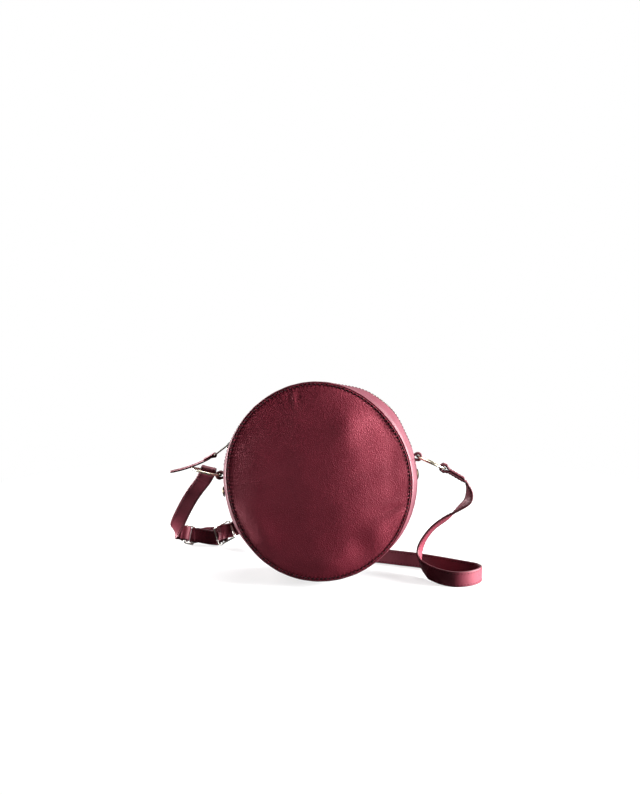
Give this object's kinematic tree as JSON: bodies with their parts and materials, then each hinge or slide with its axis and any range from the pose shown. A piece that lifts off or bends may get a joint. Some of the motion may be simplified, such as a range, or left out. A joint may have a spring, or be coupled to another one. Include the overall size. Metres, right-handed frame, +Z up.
{
  "type": "circle bag",
  "caption": "Round leather bag with crowned panels, a zip along the top of its side wall, two side rings and a thin adjustable strap that lies on the floor.",
  "frame": {"origin": "centre of the flat patch the bag stands on, on the floor", "axes": "+X to the bag's right as seen from the front, +Y to the back, +Z up; the front panel faces -Y and leans back 9 degrees"},
  "size_m": [0.3347, 0.1979, 0.1989],
  "materials": {
    "leather": "pebbled, satin",
    "piping": "smooth, satin",
    "strap_leather": "smooth, satin",
    "lining": "woven, matte",
    "zip_tape": "woven, matte",
    "zip_metal": "dark, burnished",
    "slider_metal": "gunmetal, satin",
    "ring_metal": "pale gold plate, polished",
    "rivet_metal": "polished",
    "buckle_metal": "nickel plate, polished"
  },
  "bodies": {
    "bag": {"front_panel": "leather", "back_panel": "leather", "bottom_gusset": "leather", "zip_gusset_front": "leather", "zip_gusset_back": "leather", "zip_end_left": "leather", "zip_end_right": "leather", "front_welt": "piping", "back_welt": "piping", "lining_front": "lining", "lining_back": "lining", "lining_gusset": "lining", "lining_top": "lining", "zip_tape_front": "zip_tape", "zip_tape_back": "zip_tape", "zip_teeth_front": "zip_metal", "zip_teeth_back": "zip_metal", "zip_stops": "zip_metal", "tab_left": "leather", "tab_right": "leather", "rivet_caps": "rivet_metal", "rivet_backs": "rivet_metal", "strap_short_run": "strap_leather", "strap_short_buckle_end": "strap_leather", "strap_buckle": "buckle_metal", "strap_adjuster_loop": "strap_leather", "strap_long_run": "strap_leather", "strap_long_drop": "strap_leather"},
    "zip_slider_body": {"zip_slider": "slider_metal"},
    "zip_puller_body": {"zip_puller": "slider_metal"},
    "pull_body": {"pull_tab": "leather"},
    "ring_left_body": {"ring_left": "ring_metal", "strap_short_ring_end": "strap_leather"},
    "ring_right_body": {"ring_right": "ring_metal", "strap_long_ring_end": "strap_leather"},
    "strap_slider_body": {"strap_slider": "buckle_metal"}
  },
  "joints": [
    {"name": "zip_travel", "type": "hinge", "parent": "bag", "child": "zip_slider_body", "pos_m": [0, -0.00407, 0.09782], "axis": [0, 0.9877, -0.1564], "range_deg": [0, 133]},
    {"name": "zip_puller_flip", "type": "hinge", "parent": "zip_slider_body", "child": "zip_puller_body", "pos_m": [-0.09444, 0.00131, 0.13177], "axis": [0, 0.9877, -0.1564], "range_deg": [0, 60]},
    {"name": "pull_swing", "type": "hinge", "parent": "zip_puller_body", "child": "pull_body", "pos_m": [-0.10784, -0.00033, 0.12143], "axis": [0, 0.9877, -0.1564], "range_deg": [0, 30]},
    {"name": "ring_left_swing", "type": "hinge", "parent": "bag", "child": "ring_left_body", "pos_m": [-0.10212, -0.00351, 0.10134], "axis": [0, 0.9877, -0.1564], "range_deg": [-30, 0], "deforming": ["strap_short_run"]},
    {"name": "ring_right_swing", "type": "hinge", "parent": "bag", "child": "ring_right_body", "pos_m": [0.09915, -0.0002, 0.12224], "axis": [0, 0.9877, -0.1564], "range_deg": [-25, 25], "deforming": ["strap_long_drop"]},
    {"name": "strap_slider_travel", "type": "slide", "parent": "bag", "child": "strap_slider_body", "axis": [0.9848, -0.1736, 0], "range_m": [-0.008, 0.006], "deforming": ["strap_adjuster_loop"]}
  ]
}
